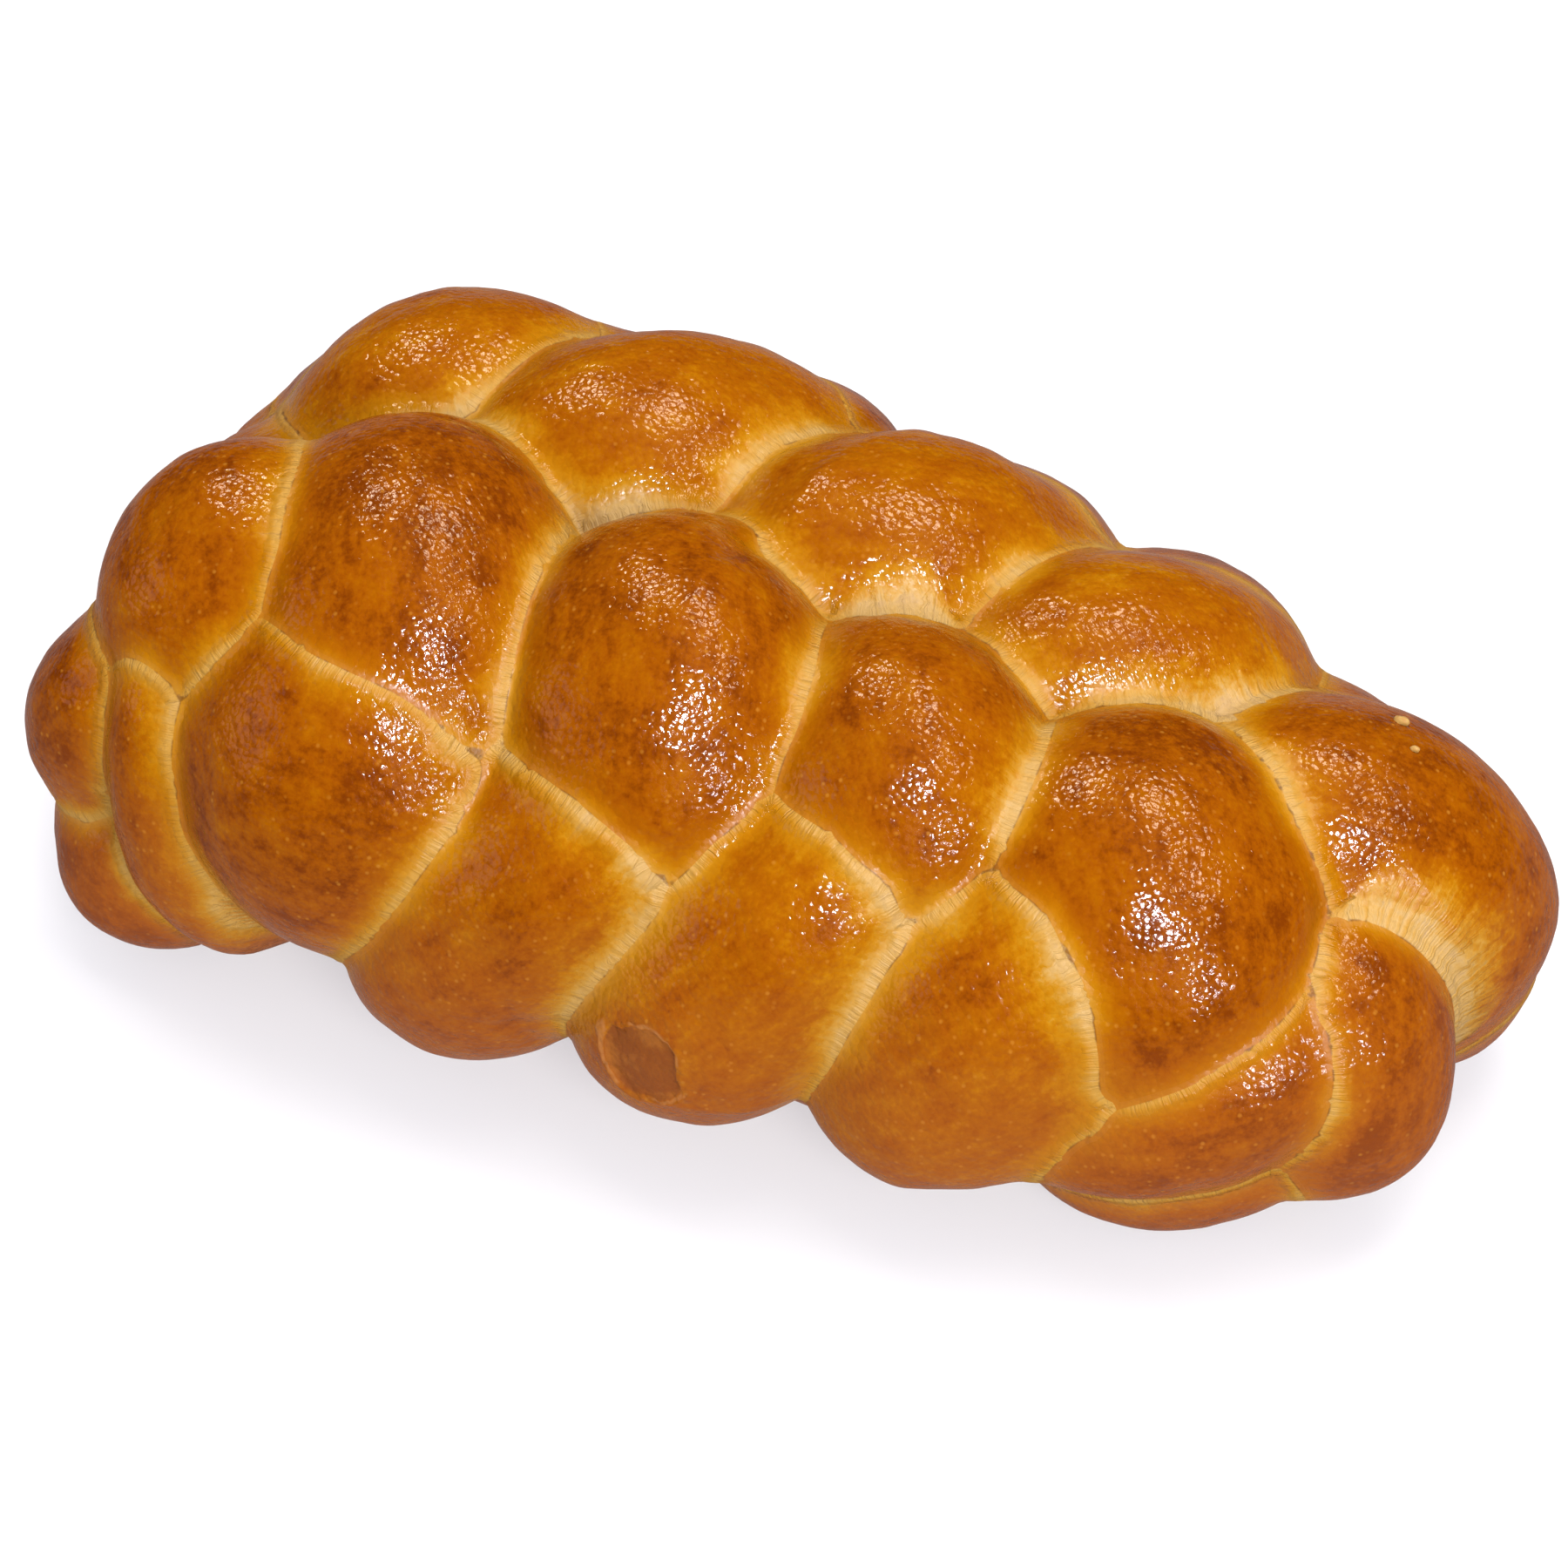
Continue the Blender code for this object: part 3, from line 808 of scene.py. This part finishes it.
# %% A small class for shader values
class Value:
    """An output socket with arithmetic; each sign adds one Math node."""

    def __init__(self, net, socket):
        self.net = net
        self.socket = socket

    def join(self, operation, first, second):
        """One Math node with this operation on two values or numbers."""
        node = self.net.node("ShaderNodeMath", {"operation": operation}, {0: first, 1: second})
        return Value(self.net, node.outputs[0])

    def __add__(self, other):
        return self.join("ADD", self, other)

    def __sub__(self, other):
        return self.join("SUBTRACT", self, other)

    def __mul__(self, other):
        return self.join("MULTIPLY", self, other)

    def __truediv__(self, other):
        return self.join("DIVIDE", self, other)

    def __pow__(self, other):
        return self.join("POWER", self, other)

    def __rsub__(self, other):
        return self.join("SUBTRACT", other, self)

    __radd__ = __add__
    __rmul__ = __mul__

    def clip(self, low=0.0, high=1.0):
        """The value, kept between low and high."""
        return self.join("MINIMUM", self.join("MAXIMUM", self, low), high)

    def step(self, low, high):
        """Smooth step from 0 at low to 1 at high; low may be the larger."""
        node = self.net.node(
            "ShaderNodeMapRange", {"interpolation_type": "SMOOTHSTEP"},
            {"Value": self, "From Min": low, "From Max": high, "To Min": 0.0, "To Max": 1.0})
        return Value(self.net, node.outputs[0])


print("signs on values:", [name for name in vars(Value) if name.startswith("__r") or name == "__add__"])

# %% [markdown]
# ## One way to add any other node
#
# Noise, ramps and shaders aren't arithmetic. They all come from one method that takes the
# node's type, its settings and its sockets. A few short names for the nodes used most keep
# the recipe of a finish readable. A noise's scale is the number of its waves in a metre.


# %% A class for one material
class Net:
    """The nodes of one material."""

    def __init__(self, name):
        self.material = bpy.data.materials.new(name)
        self.material.use_nodes = True
        self.tree = self.material.node_tree
        self.tree.nodes.clear()

    def node(self, kind, settings=None, sockets=None):
        """Add a node: its settings first, then the values or links of its sockets."""
        node = self.tree.nodes.new(kind)
        for name, setting in (settings or {}).items():
            if name == "stops":
                set_stops(node.color_ramp, setting)
            else:
                setattr(node, name, setting)
        for name, given in (sockets or {}).items():
            socket = given.socket if isinstance(given, Value) else given
            if isinstance(socket, bpy.types.NodeSocket):
                self.tree.links.new(socket, node.inputs[name])
            else:
                node.inputs[name].default_value = socket
        return node

    def value(self, kind, settings=None, sockets=None, output=0):
        """Add a node and wrap one of its outputs."""
        return Value(self, self.node(kind, settings, sockets).outputs[output])

    def read(self, name, output="Fac"):
        """A value stored on the mesh."""
        return self.value("ShaderNodeAttribute", {"attribute_name": name}, output=output)

    def vector(self, x, y, z):
        """Three values as one vector."""
        return self.value("ShaderNodeCombineXYZ", sockets={0: x, 1: y, 2: z})

    def noise(self, place, scale, detail=2.0, roughness=0.5):
        """Soft noise around 0.5."""
        return self.value("ShaderNodeTexNoise", {"noise_dimensions": "3D"}, {
            "Vector": place, "Scale": scale, "Detail": detail, "Roughness": roughness})

    def parts(self, vector):
        """The three values of a vector."""
        node = self.node("ShaderNodeSeparateXYZ", sockets={0: vector})
        return [Value(self, output) for output in node.outputs]

    def mix(self, factor, first, second):
        """Blend two colours; a factor of 1 gives the second."""
        node = self.node("ShaderNodeMix", {"data_type": "RGBA"}, {0: factor, 6: first, 7: second})
        return Value(self, node.outputs[2])

    def finish(self, piece, sockets):
        """Close the net with a Principled shader and give the material to the piece."""
        shader = self.node("ShaderNodeBsdfPrincipled", sockets={"Metallic": 0.0, **sockets})
        self.node("ShaderNodeOutputMaterial", sockets={0: shader.outputs[0]})
        piece.data.materials.append(self.material)
        print(self.material.name, "made of", len(self.tree.nodes), "nodes")


def set_stops(ramp, stops):
    """Give a colour ramp its stops: position and colour in linear light."""
    while len(ramp.elements) < len(stops):
        ramp.elements.new(0.5)
    for element, (position, colour) in zip(ramp.elements, stops):
        element.position = position
        element.color = colour


def linear(red, green, blue):
    """Colour in linear light from the usual 0 to 255 values."""
    shares = [value / 255 for value in (red, green, blue)]
    return tuple(s / 12.92 if s <= 0.04045 else ((s + 0.055) / 1.055) ** 2.4 for s in shares)


print("cream in linear light", [round(v, 3) for v in linear(230, 200, 130)])

# %% [markdown]
# ## Baked crust: what is stored and what is random
#
# The colour could be painted on by hand, but paint knows nothing of the folds. Here it is
# worked out from what the mesh stores: the distance from the crease in mm, the width of the
# pale band there, whether the lobe dives, and the nearest point of the crease. Noise at that
# nearest point stays the same straight across a band, so it makes fibres. Noise that is
# squeezed in the lobe's own axes makes streaks along the strand.

# %% Stored values and noises
net = Net("baked_crust")
place = net.value("ShaderNodeTexCoord", output=3)
x, y, z = net.parts(place)
gap_mm, band_mm, dive = net.read("gap"), net.read("band"), net.read("dive")
base, done, pit = net.read("base"), net.read("done"), net.read("pit")
blister_edge, root_place = net.read("blister"), net.read("root", "Vector")
lengthwise, crosswise, upwise = net.parts(net.read("strand", "Vector"))

wander = net.noise(root_place, 46.0, 1.0)
ragged = net.noise(root_place, 240.0, 3.0, 0.65)
fibres = net.noise(root_place, 1300.0, 2.0, 0.7)
broad = net.noise(place, 30.0)
mottle = net.noise(place, 110.0, 4.0, 0.68)
grain = net.noise(place, 800.0, 3.0, 0.65)
streak = net.noise(net.vector(lengthwise * 70, crosswise * 300, upwise * 300), 1.0, 3.0, 0.6)
print("stored values and noises take", len(net.tree.nodes), "nodes")

# %% [markdown]
# ## Torn bands
#
# On the lower side of a crease the dough tore late, and baked only a little. The tear takes
# a share of the band that wanders along the crease, nearly all of it in the widest bands,
# and its edge is ragged. The distance from the crease, divided by the width of the tear, is
# small inside the tear and more than one outside, however wide the tear is.

# %% How torn each spot is
wide = ((band_mm - 8) / 6).clip()
share = 0.12 + 0.75 * wander.step(0.36, 0.62)
torn = band_mm * (share + (0.85 - share) * wide) * (0.3 + 0.9 * ragged)
across = gap_mm / (0.6 + torn) + (fibres - 0.5) * 0.9 + (grain - 0.5) * 0.7
pale = across.step(1.5, 0.4) * dive
print("torn bands reach", len(net.tree.nodes), "nodes")

# %% [markdown]
# ## How far each spot is baked
#
# The bake is one number: 0 is cream and 1 is deep brown. The lower side of a crease goes
# from cream in the tear, over straw at its edge, to gold and brown on the crown. The upper
# side stood out in the heat, so it starts at gold and is brown within a few millimetres.
# Mottling, grain and streaks are added, less of them close to a crease.

# %% Bake
EDGE_BAKE, UNDER_RISE = 0.34, 0.48
OVER_START, OVER_CROWN = 0.26, 0.80

golden = ((gap_mm - 0.5 * torn) / (2.4 + 9.0 * broad + torn)).clip() ** 0.75
creamy = (EDGE_BAKE - 0.050 * torn).clip(0.05, 0.30) + (fibres - 0.4) * (wide * 0.5)
under = creamy + (EDGE_BAKE - creamy) * across.step(0.3, 1.8) + UNDER_RISE * golden
over = OVER_START + 0.30 * wander.step(0.62, 0.42)
over = over + (OVER_CROWN - over) * (gap_mm / (2.5 + 9.0 * broad)).clip() ** 0.8
bake = under * dive + over * (1 - dive) + done * (gap_mm * 0.2).clip()
uneven = (mottle - 0.5) * 0.60 + (broad - 0.5) * 0.22 + (grain - 0.5) * 0.40 + (streak - 0.5) * 0.42
bake = bake + uneven * (gap_mm * 0.16).clip(0.25, 1)
print("bake reaches", len(net.tree.nodes), "nodes")

# %% [markdown]
# ## From bake to colour
#
# A colour ramp turns the bake into crust. Each stop is given as the colour that the crust
# shows, in the usual 0 to 255 values, and taken down by one share, because the light that
# keeps the floor white is brighter than daylight.

# %% Colours of baking
SHADE = 0.42


def crust_tone(red, green, blue, lift=1.0):
    """Colour in linear light, times the shade, times a lift of its own, with alpha 1."""
    return (*(SHADE * lift * value for value in linear(red, green, blue)), 1.0)


# The stop colours are the dough's own; the lifts above one brighten the paler stops further, painted
# light that stands in for light scattered in the dough, so they stay bright down in the creases.
BROWNING = (
    (0.00, crust_tone(216, 174, 112, 1.12)),
    (0.10, crust_tone(222, 178, 104, 1.16)),
    (0.22, crust_tone(220, 165, 68, 1.12)),
    (0.36, crust_tone(212, 146, 26, 1.12)),
    (0.52, crust_tone(202, 128, 8, 1.1)),
    (0.68, crust_tone(193, 109, 3)),
    (0.84, crust_tone(179, 92, 3)),
    (1.00, crust_tone(142, 64, 3)),
)
brown = net.value("ShaderNodeValToRGB", {"stops": BROWNING}, {0: bake.clip()})
print(len(BROWNING), "stops from cream to brown")

# %% [markdown]
# ## Marks on the crust
#
# Fine yeast bubbles dry to paler specks: one to each cell of a Voronoi pattern, where a random
# number of the cell picks it. The torn bands have darker fibres. Painted shade: dark broken
# lines in the bottoms of the creases, and a dark patch where the core shows high between lobes.
# The burst blister is a dark hollow with a paler rim. Low on the sides a redder tint is painted,
# a painted reflection of the floor, and the crust is duller there. The underside, baked on the
# board, is a plain dull brown. Each mark is a mask and a tone, laid over each other in order.

# %% Specks, fibres, hollows and underside
cells = net.node("ShaderNodeTexVoronoi", {"feature": "F1"}, {"Vector": place, "Scale": 640.0})
speck_pick = net.parts(cells.outputs["Color"])[0] + (broad - 0.5) * 0.8
speck = Value(net, cells.outputs["Distance"]).step(0.36, 0.10) * speck_pick.step(0.55, 1.0)
fibre_tone = (fibres.step(0.42, 0.30) * 0.3 + grain.step(0.40, 0.28) * 0.25) * pale
# Painted shade: dark broken lines along the bottom of each crease, where shade would fall.
crease_shade_paint = gap_mm.step(0.40, 0.0) * ragged.step(0.46, 0.60)
scar = blister_edge.step(0.25, -0.25)
scar_rim = blister_edge.step(0.0, 0.5) * blister_edge.step(1.5, 0.9) * mottle.step(0.40, 0.50)
# Painted reflection: a redder tint towards the bottom of the sides, standing in for the floor mirrored
# in the crust; the same mask also raises the roughness there.
floor_sheen_paint = (0.85 - z * 14.0).clip() * (1 - pale)
hollow = net.mix(mottle.step(0.40, 0.60), crust_tone(150, 76, 8), crust_tone(196, 118, 30))
underside_brown = net.mix(mottle, crust_tone(186, 122, 62), crust_tone(150, 88, 38))

MARKS = (
    (speck * (1 - pale) * 0.55, crust_tone(228, 152, 50)),
    (fibre_tone, crust_tone(176, 130, 74)),
    (scar * 0.85, hollow),
    (scar_rim * 0.6, crust_tone(218, 150, 84, 1.1)),
    # Painted shade: the core's patches between lobes, dark as a deep hole in shadow.
    (pit * 0.75, crust_tone(108, 60, 20)),
    (floor_sheen_paint * 0.5, crust_tone(204, 112, 58, 1.1)),
    (crease_shade_paint * 0.75, crust_tone(124, 70, 18)),
    (base, underside_brown),
)
colour = brown
for amount, tone in MARKS:
    colour = net.mix(amount, colour, tone)
print(len(MARKS), "marks over the brown")

# %% [markdown]
# ## Egg gloss
#
# Beaten egg dries to a film too thin to see as a layer, so it is only a low roughness and a
# small specular level. Dough that tore after the brushing has no egg and is matt, and so is
# the underside. The relief under the film is finer than half a millimetre, which a mesh
# would need millions of points for, so it is a bump: a soft ripple, small domes, wrinkles
# where a strand was pulled, and fibres in the torn bands. A dome is the square of the
# distance from the middle of a Voronoi cell. The domes break a lamp into sparkles. Blender
# works the height out three times, so it holds nothing that the gloss doesn't show.

# %% Gloss and fine relief
RIPPLE, SOFT_RIPPLE, DOME, WRINKLE, FIBRE = 0.08, 0.20, 0.14, 0.34, 0.60

matt = (pale + base + floor_sheen_paint * 0.3 + scar * 0.7 + pit + gap_mm.step(1.8, 0.3) * 0.7).clip()
roughness = 0.12 + matt * 0.40 + (broad - 0.5) * 0.08 + (mottle - 0.5) * 0.08

pulled = net.vector((x * 0.57 + y * 0.82) * 620, (x * 0.82 - y * 0.57) * 100, z * 240)
wrinkles = net.noise(pulled, 1.0, 2.0, 0.6) * (broad.step(0.44, 0.66) * WRINKLE)
ripple = net.noise(place, 1000.0, 2.0, 0.6) * RIPPLE + net.noise(place, 330.0) * SOFT_RIPPLE
dome = net.value("ShaderNodeTexVoronoi", {"feature": "F1"}, {"Vector": place, "Scale": 760.0})
tear_mm = 0.6 + band_mm * (0.36 + 0.35 * wide)
relief = (gap_mm / tear_mm).step(1.3, 0.5) * dive * (fibres * FIBRE)
height = ripple - dome * dome * DOME + wrinkles + relief
bump = net.node("ShaderNodeBump", sockets={"Strength": 1.0, "Distance": 1 * MM, "Height": height})
net.finish(crust, {
    "Base Color": colour, "Roughness": roughness, "Normal": bump.outputs[0],
    "IOR": 1.45, "Specular IOR Level": 0.16})

# %% Crumb material
crumb_net = Net("crumb")
crumb_grain = crumb_net.noise(crumb_net.value("ShaderNodeTexCoord", output=3), 1500.0)
crumb_colour = crumb_net.mix(crumb_grain, crust_tone(226, 190, 110, 1.3), crust_tone(206, 130, 40))
crumb_net.finish(crumbs, {"Base Color": crumb_colour, "Roughness": 0.6, "Specular IOR Level": 0.16})

# %% [markdown]
# ## Floor and surround
#
# The loaf lies on a plain pale sweep that glows a little, so that it stays white around the
# soft shadow. A glossy crust mirrors what it lies on, and a white floor would lay a milky
# veil over every side that turns away. So reflections leave the floor out, and see a dull
# warm card under it. The surround lights the loaf from all sides and isn't mirrored either.

# %% Floor, card and surround
FLOOR_HALF = 3.0
CARD_LEVEL = -0.01


def sheet(name, level, sockets):
    """Square that faces up at a level, part of the stage and not of the loaf."""
    sides = ((-1, -1), (1, -1), (1, 1), (-1, 1))
    corners = np.array([[FLOOR_HALF * x, FLOOR_HALF * y, level] for x, y in sides])
    piece = new_piece(name, corners, np.array([[0, 1, 2, 3]]))
    Net(name).finish(piece, {"Roughness": 0.9, "Specular IOR Level": 0.0, **sockets})
    return piece


floor = sheet("floor", 0.0, {
    "Base Color": (0.36, 0.36, 0.37, 1.0), "Emission Color": (0.95, 0.95, 1.0, 1.0),
    "Emission Strength": 0.52})
card = sheet("card", CARD_LEVEL, {
    "Base Color": (0.0, 0.0, 0.0, 1.0), "Emission Color": (1.0, 0.70, 0.64, 1.0),
    "Emission Strength": 0.40})
floor.visible_glossy = False
card.visible_camera, card.visible_diffuse, card.visible_shadow = False, False, False

world = bpy.data.worlds.new("surround")
bpy.context.scene.world = world
world.use_nodes = True
world.node_tree.nodes["Background"].inputs["Color"].default_value = (0.95, 0.94, 1.0, 1.0)
world.node_tree.nodes["Background"].inputs["Strength"].default_value = 0.95
world.cycles_visibility.glossy = False
print("floor, card and surround made")

# %% [markdown]
# ## Lamps
#
# Shading and gloss are set apart, so that each can be changed alone. Two large soft lamps do
# the shading and don't show in reflections. The others are only seen in reflections: warm
# ones behind and beside the loaf put soft patches on the crowns, small cool ones in front
# put the bright sparkles on the near sides, and a broad dim one gives the left a faint sheen.


# %% Lamps round the loaf
LAMP_DISTANCE = 1.6
LAMP_TARGET = (0, 0, 0.04)

# Name, azimuth and elevation in degrees, sides in metres, power in watts, colour.
GLOSS_LAMPS = (
    ("gloss_behind", 172, 66, (0.44, 0.24), 15, (1.0, 0.84, 0.60)),
    ("gloss_left", 232, 52, (0.25, 0.21), 9.5, (1.0, 0.84, 0.62)),
    ("gloss_right", 108, 58, (0.24, 0.17), 7.5, (1.0, 0.86, 0.66)),
    ("gloss_front", 44, 57, (0.20, 0.20), 62, (0.88, 0.92, 1.0)),
    ("gloss_low", 62, 27, (0.14, 0.16), 16, (0.92, 0.94, 1.0)),
    ("gloss_side", -62, 22, (0.8, 0.5), 2.2, (1.0, 0.84, 0.94)),
)
SHADING_LAMPS = (
    ("ceiling", 160, 78, (1.2, 1.2), 30, (1.0, 0.97, 0.93)),
    ("key", 40, 30, (0.6, 0.6), 27, (1.0, 0.98, 0.96)),
)


def from_loaf(azimuth, elevation):
    """Direction from the loaf: azimuth 0 is the near side, 90 the tail; both in radians."""
    level = math.cos(elevation)
    return Vector((math.sin(azimuth) * level, -math.cos(azimuth) * level, math.sin(elevation)))


def lamp(name, azimuth, elevation, size, power, colour):
    """Rectangular lamp on a sphere round the loaf, turned so that its -Z looks at the loaf."""
    light = bpy.data.lights.new(name, "AREA")
    light.shape = "RECTANGLE"
    light.size, light.size_y = size
    light.energy = power
    light.color = colour
    thing = bpy.data.objects.new(name, light)
    bpy.context.scene.collection.objects.link(thing)
    stand = from_loaf(math.radians(azimuth), math.radians(elevation)) * LAMP_DISTANCE
    turned = (Vector(LAMP_TARGET) - stand).normalized().to_track_quat("-Z", "Y")
    thing.matrix_world = Matrix.Translation(stand) @ turned.to_matrix().to_4x4()
    return thing


for settings in GLOSS_LAMPS:
    lamp(*settings).visible_diffuse = False
for settings in SHADING_LAMPS:
    lamp(*settings).visible_glossy = False
print(len(GLOSS_LAMPS), "lamps for gloss and", len(SHADING_LAMPS), "for shading")

# %% [markdown]
# ## Camera
#
# From half-way up, a little towards the tail, all the rows of the braid show. A long lens
# more than a metre away keeps the near lobes from looking too large beside the far ones.

# %% Camera
ELEVATION, AZIMUTH, DISTANCE = math.radians(42), math.radians(27), 1.150
AIM_HEIGHT, AIM_RIGHT, AIM_DOWN = 0.040, 0.00175, 0.0043

BACK = from_loaf(AZIMUTH, ELEVATION)
RIGHT = Vector((math.cos(AZIMUTH), math.sin(AZIMUTH), 0))
UP = BACK.cross(RIGHT)
camera_data = bpy.data.cameras.new("camera")
camera_data.lens, camera_data.sensor_width = 144.7, 36
camera_data.clip_start, camera_data.clip_end = 0.01, 20
camera = bpy.data.objects.new("camera", camera_data)
bpy.context.scene.collection.objects.link(camera)
target = Vector(centre_shift) + Vector((0, 0, AIM_HEIGHT)) + AIM_RIGHT * RIGHT - AIM_DOWN * UP
facing = Matrix((RIGHT, UP, BACK)).transposed().to_4x4()
camera.matrix_world = Matrix.Translation(target + BACK * DISTANCE) @ facing
bpy.context.scene.camera = camera
bpy.context.scene.view_settings.view_transform = "Standard"
print("camera at", [round(v, 3) for v in camera.location])
